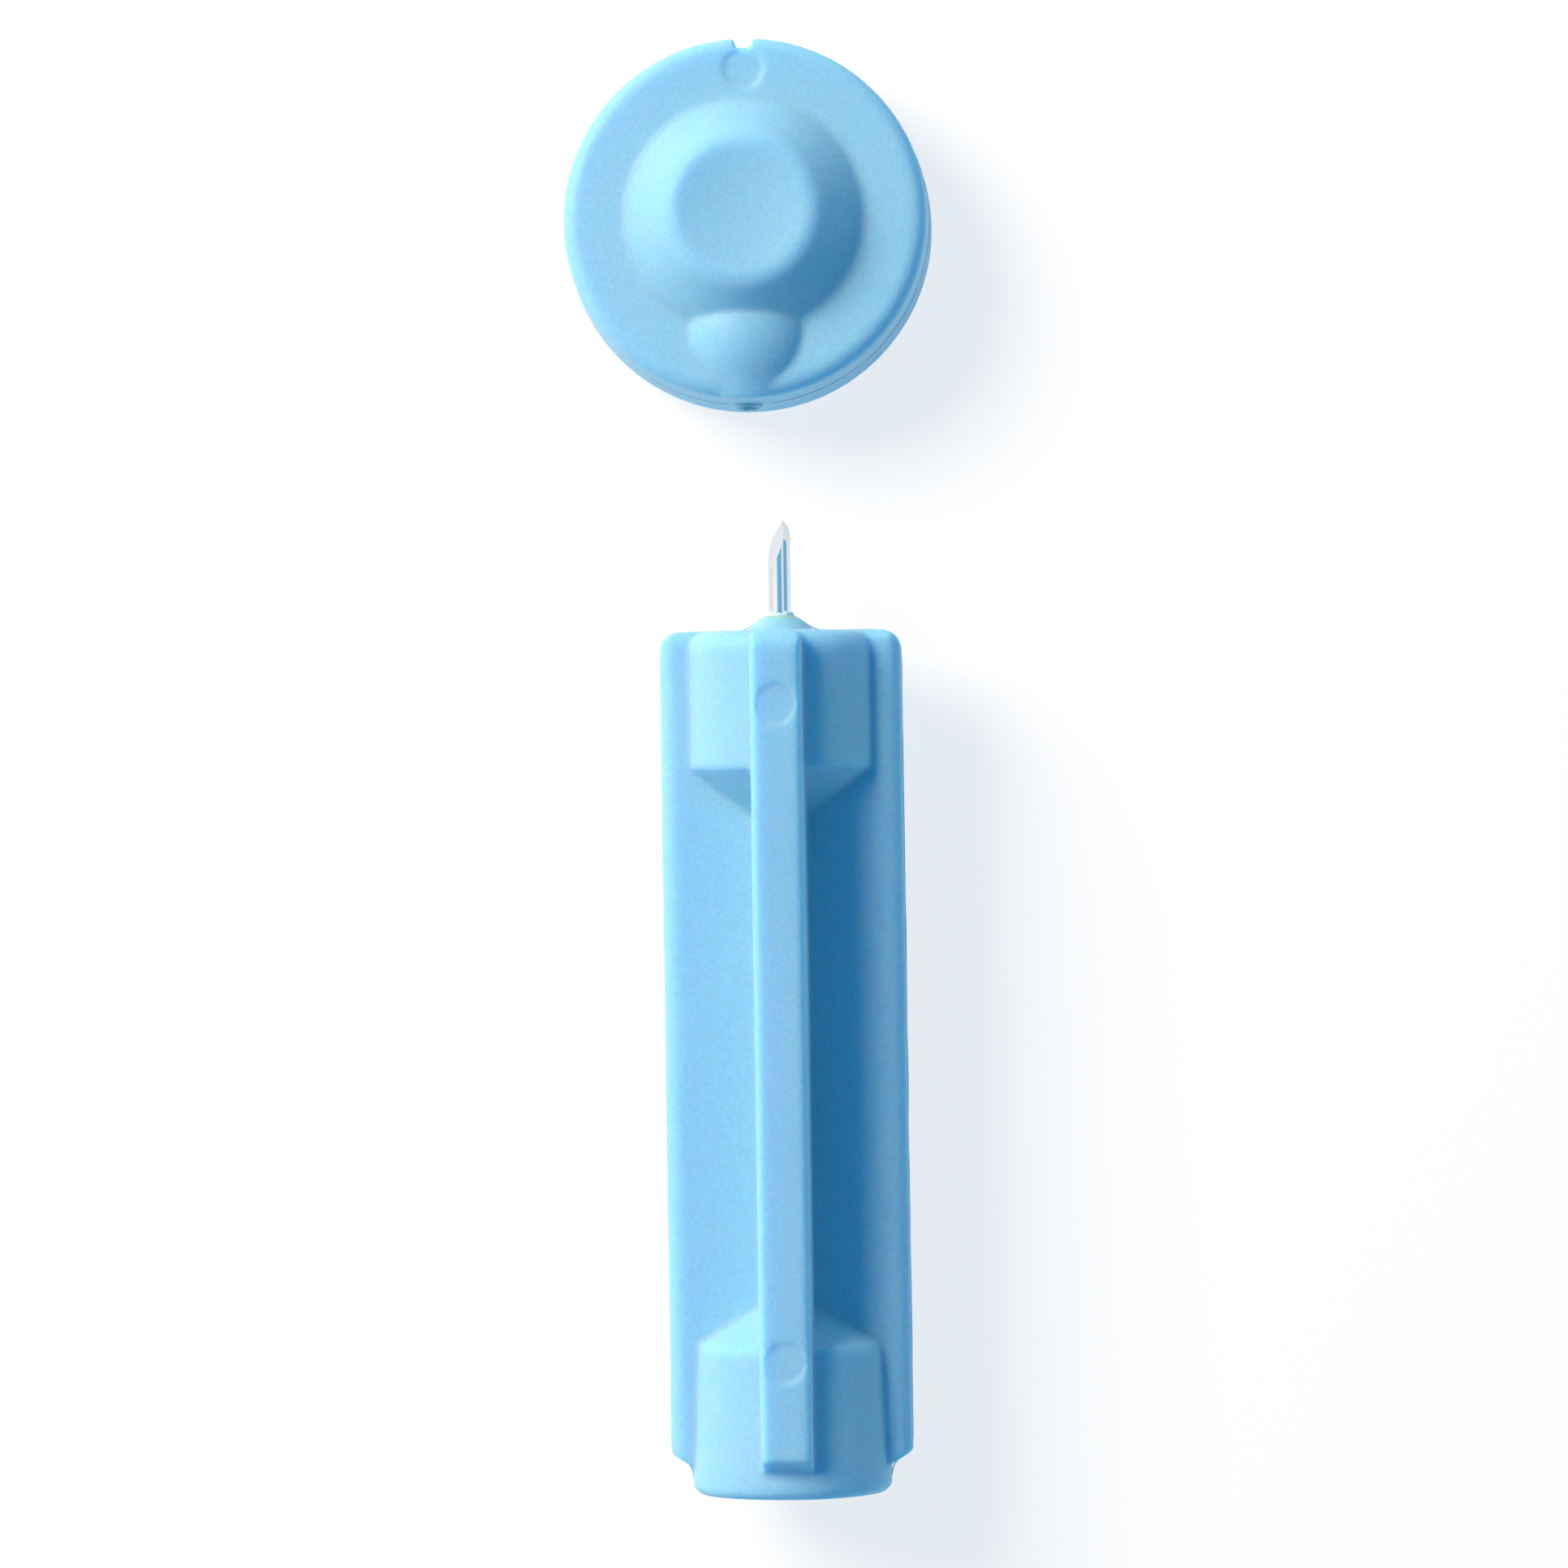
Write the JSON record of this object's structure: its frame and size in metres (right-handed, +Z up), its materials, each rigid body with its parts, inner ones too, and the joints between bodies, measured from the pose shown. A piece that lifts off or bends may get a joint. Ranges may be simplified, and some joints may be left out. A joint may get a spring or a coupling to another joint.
{
  "type": "blood lancet",
  "caption": "Twist-off blood lancet: finned plastic body with a bevelled steel needle, its round protective cap taken off and lying ahead of the point.",
  "frame": {"origin": "on the surface that everything lies on, in the middle of the whole layout's length and width", "axes": "+X to the picture's right, +Y along the needle the way its point faces, +Z up from the surface"},
  "size_m": [0.0098, 0.0386, 0.0064],
  "materials": {
    "polyethylene": "light blue low-density polyethylene, injection moulded, waxy and slightly translucent",
    "needle_steel": "drawn stainless wire, electropolished, with a ground three-facet point"
  },
  "bodies": {
    "root": {"lancet_body": "polyethylene", "needle": "needle_steel", "twist_cap": "polyethylene"}
  },
  "joints": []
}
